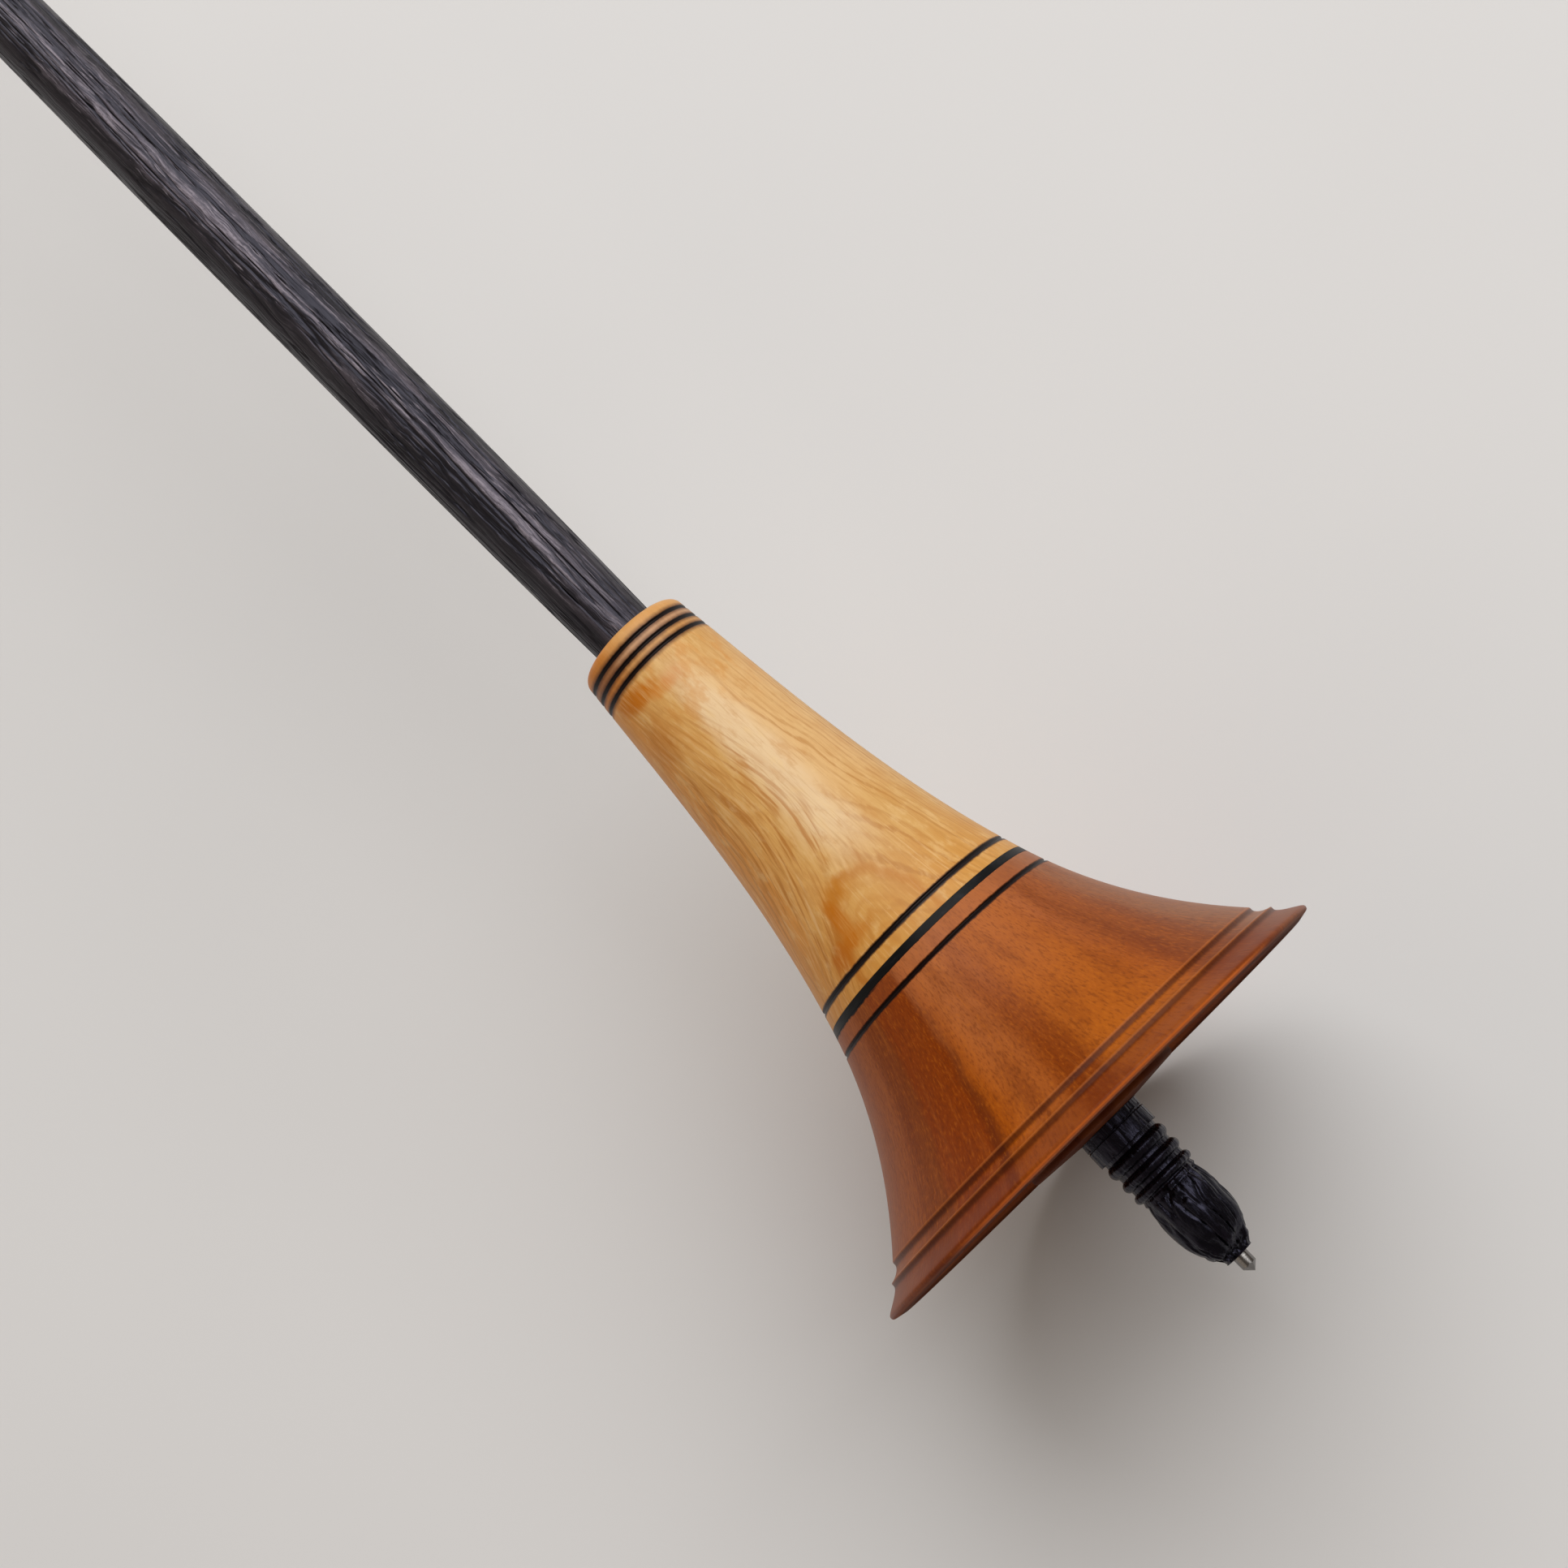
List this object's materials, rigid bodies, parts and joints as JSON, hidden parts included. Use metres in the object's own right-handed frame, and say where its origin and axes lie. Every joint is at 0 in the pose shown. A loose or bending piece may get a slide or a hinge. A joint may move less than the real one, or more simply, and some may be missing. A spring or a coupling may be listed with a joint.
{
  "type": "support spindle",
  "caption": "Turned wooden support spindle with a trumpet-shaped whorl of pale and brown wood, a long dark shaft, and a beaded foot with a steel point that spins in a bowl.",
  "frame": {"origin": "the steel point at the lower end of the axis", "axes": "+Z along the axis of turning, from the steel point towards the upper end of the shaft"},
  "size_m": [0.051, 0.051, 0.27],
  "materials": {
    "point_steel": "bright ground steel",
    "foot_wood": "black open-grained wood, oiled and buffed",
    "bell_wood": "reddish brown fine-grained wood, satin lacquer",
    "seam_black": "black dyed layer, satin lacquer",
    "neck_wood": "pale golden figured wood, satin lacquer",
    "shaft_wood": "black wood with grey streaks, oiled and buffed"
  },
  "bodies": {
    "root": {"tip_pin": "point_steel", "foot": "foot_wood", "whorl_bell": "bell_wood", "seam_ring": "seam_black", "whorl_neck": "neck_wood", "shaft": "shaft_wood"}
  },
  "joints": []
}
